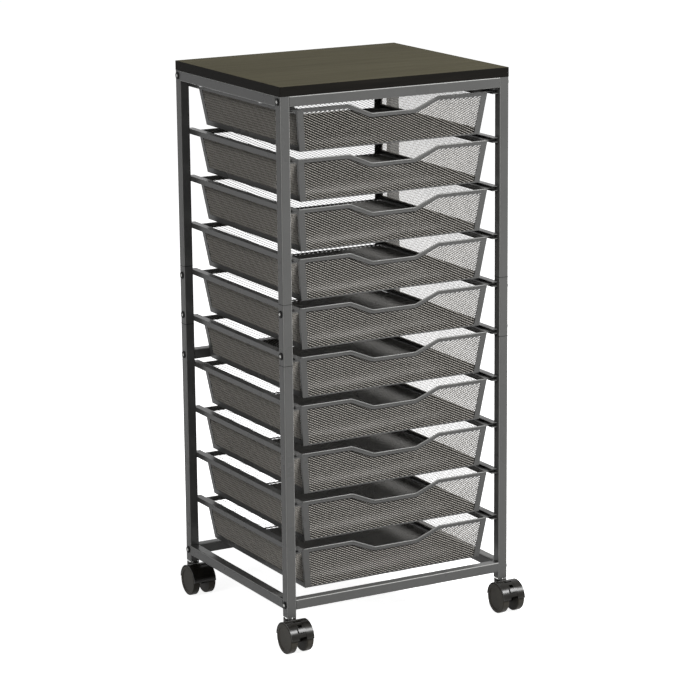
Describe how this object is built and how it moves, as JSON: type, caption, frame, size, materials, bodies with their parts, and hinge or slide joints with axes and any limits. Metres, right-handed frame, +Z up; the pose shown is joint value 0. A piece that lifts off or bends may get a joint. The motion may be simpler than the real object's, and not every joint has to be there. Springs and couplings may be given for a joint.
{
  "type": "rolling drawer cart",
  "caption": "Tall rolling cart with a square-tube steel frame, stacked mesh drawers on channel runners, a dark wooden top and swivel casters.",
  "frame": {"origin": "on the floor, under the middle of the whole object's box with its casters trailing forward", "axes": "+Z up, +X to the right seen from the front, -Y towards the side that the drawers open to"},
  "size_m": [0.424, 0.3902, 0.876],
  "materials": {
    "frame_paint": "satin graphite",
    "mesh_paint": "satin graphite",
    "dark_wood": "dark oiled grain",
    "dark_bolt": "black oxide",
    "plug_plastic": "matte",
    "caster_plastic": "glossy",
    "wheel_plastic": "glossy",
    "steel": "plain",
    "bright_steel": "bright plated"
  },
  "bodies": {
    "frame": {"top_board": "dark_wood", "post_upper_front_left": "frame_paint", "post_upper_front_right": "frame_paint", "post_upper_back_left": "frame_paint", "post_upper_back_right": "frame_paint", "post_lower_front_left": "frame_paint", "post_lower_front_right": "frame_paint", "post_lower_back_left": "frame_paint", "post_lower_back_right": "frame_paint", "post_middle_sections": "frame_paint", "post_spigots": "steel", "top_rail_front": "frame_paint", "top_rail_back": "frame_paint", "top_rail_left": "frame_paint", "top_rail_right": "frame_paint", "bottom_rail_front": "frame_paint", "bottom_rail_back": "frame_paint", "bottom_rail_left": "frame_paint", "bottom_rail_right": "frame_paint", "middle_rail_back": "frame_paint", "runners_left": "frame_paint", "runners_right": "frame_paint", "frame_bolts": "dark_bolt", "tube_end_plugs": "plug_plastic", "board_screws": "steel", "caster_stems": "bright_steel"},
    "drawer_01": {"drawer_01_frame": "frame_paint", "drawer_01_basket": "mesh_paint"},
    "drawer_02": {"drawer_02_frame": "frame_paint", "drawer_02_basket": "mesh_paint"},
    "drawer_03": {"drawer_03_frame": "frame_paint", "drawer_03_basket": "mesh_paint"},
    "drawer_04": {"drawer_04_frame": "frame_paint", "drawer_04_basket": "mesh_paint"},
    "drawer_05": {"drawer_05_frame": "frame_paint", "drawer_05_basket": "mesh_paint"},
    "drawer_06": {"drawer_06_frame": "frame_paint", "drawer_06_basket": "mesh_paint"},
    "drawer_07": {"drawer_07_frame": "frame_paint", "drawer_07_basket": "mesh_paint"},
    "drawer_08": {"drawer_08_frame": "frame_paint", "drawer_08_basket": "mesh_paint"},
    "drawer_09": {"drawer_09_frame": "frame_paint", "drawer_09_basket": "mesh_paint"},
    "drawer_10": {"drawer_10_frame": "frame_paint", "drawer_10_basket": "mesh_paint"},
    "caster_front_left_swivel": {"caster_front_left_hood": "caster_plastic"},
    "caster_front_left_wheel_pair": {"caster_front_left_wheels": "wheel_plastic", "caster_front_left_axle": "steel"},
    "caster_front_left_brake": {"caster_front_left_brake_lever": "caster_plastic"},
    "caster_front_right_swivel": {"caster_front_right_hood": "caster_plastic"},
    "caster_front_right_wheel_pair": {"caster_front_right_wheels": "wheel_plastic", "caster_front_right_axle": "steel"},
    "caster_front_right_brake": {"caster_front_right_brake_lever": "caster_plastic"},
    "caster_back_left_swivel": {"caster_back_left_hood": "caster_plastic"},
    "caster_back_left_wheel_pair": {"caster_back_left_wheels": "wheel_plastic", "caster_back_left_axle": "steel"},
    "caster_back_right_swivel": {"caster_back_right_hood": "caster_plastic"},
    "caster_back_right_wheel_pair": {"caster_back_right_wheels": "wheel_plastic", "caster_back_right_axle": "steel"}
  },
  "joints": [
    {"name": "drawer_01_slide", "type": "slide", "parent": "frame", "child": "drawer_01", "axis": [0, -1, 0], "range_m": [0, 0.24]},
    {"name": "drawer_02_slide", "type": "slide", "parent": "frame", "child": "drawer_02", "axis": [0, -1, 0], "range_m": [0, 0.24]},
    {"name": "drawer_03_slide", "type": "slide", "parent": "frame", "child": "drawer_03", "axis": [0, -1, 0], "range_m": [0, 0.24]},
    {"name": "drawer_04_slide", "type": "slide", "parent": "frame", "child": "drawer_04", "axis": [0, -1, 0], "range_m": [0, 0.24]},
    {"name": "drawer_05_slide", "type": "slide", "parent": "frame", "child": "drawer_05", "axis": [0, -1, 0], "range_m": [0, 0.24]},
    {"name": "drawer_06_slide", "type": "slide", "parent": "frame", "child": "drawer_06", "axis": [0, -1, 0], "range_m": [0, 0.24]},
    {"name": "drawer_07_slide", "type": "slide", "parent": "frame", "child": "drawer_07", "axis": [0, -1, 0], "range_m": [0, 0.24]},
    {"name": "drawer_08_slide", "type": "slide", "parent": "frame", "child": "drawer_08", "axis": [0, -1, 0], "range_m": [0, 0.24]},
    {"name": "drawer_09_slide", "type": "slide", "parent": "frame", "child": "drawer_09", "axis": [0, -1, 0], "range_m": [0, 0.24]},
    {"name": "drawer_10_slide", "type": "slide", "parent": "frame", "child": "drawer_10", "axis": [0, -1, 0], "range_m": [0, 0.24]},
    {"name": "caster_front_left_turn", "type": "hinge", "parent": "frame", "child": "caster_front_left_swivel", "pos_m": [-0.192, -0.15094, 0.04], "axis": [0, 0, 1], "continuous": true},
    {"name": "caster_front_left_roll", "type": "hinge", "parent": "caster_front_left_swivel", "child": "caster_front_left_wheel_pair", "pos_m": [-0.192, -0.16894, 0.024], "axis": [1, 0, 0], "continuous": true},
    {"name": "caster_front_left_brake_press", "type": "hinge", "parent": "caster_front_left_swivel", "child": "caster_front_left_brake", "pos_m": [-0.192, -0.1768, 0.04561], "axis": [1, 0, 0], "range_deg": [0, 10]},
    {"name": "caster_front_right_turn", "type": "hinge", "parent": "frame", "child": "caster_front_right_swivel", "pos_m": [0.192, -0.15094, 0.04], "axis": [0, 0, 1], "continuous": true},
    {"name": "caster_front_right_roll", "type": "hinge", "parent": "caster_front_right_swivel", "child": "caster_front_right_wheel_pair", "pos_m": [0.192, -0.16894, 0.024], "axis": [1, 0, 0], "continuous": true},
    {"name": "caster_front_right_brake_press", "type": "hinge", "parent": "caster_front_right_swivel", "child": "caster_front_right_brake", "pos_m": [0.192, -0.1768, 0.04561], "axis": [1, 0, 0], "range_deg": [0, 10]},
    {"name": "caster_back_left_turn", "type": "hinge", "parent": "frame", "child": "caster_back_left_swivel", "pos_m": [-0.192, 0.18506, 0.04], "axis": [0, 0, 1], "continuous": true},
    {"name": "caster_back_left_roll", "type": "hinge", "parent": "caster_back_left_swivel", "child": "caster_back_left_wheel_pair", "pos_m": [-0.192, 0.16706, 0.024], "axis": [1, 0, 0], "continuous": true},
    {"name": "caster_back_right_turn", "type": "hinge", "parent": "frame", "child": "caster_back_right_swivel", "pos_m": [0.192, 0.18506, 0.04], "axis": [0, 0, 1], "continuous": true},
    {"name": "caster_back_right_roll", "type": "hinge", "parent": "caster_back_right_swivel", "child": "caster_back_right_wheel_pair", "pos_m": [0.192, 0.16706, 0.024], "axis": [1, 0, 0], "continuous": true}
  ]
}
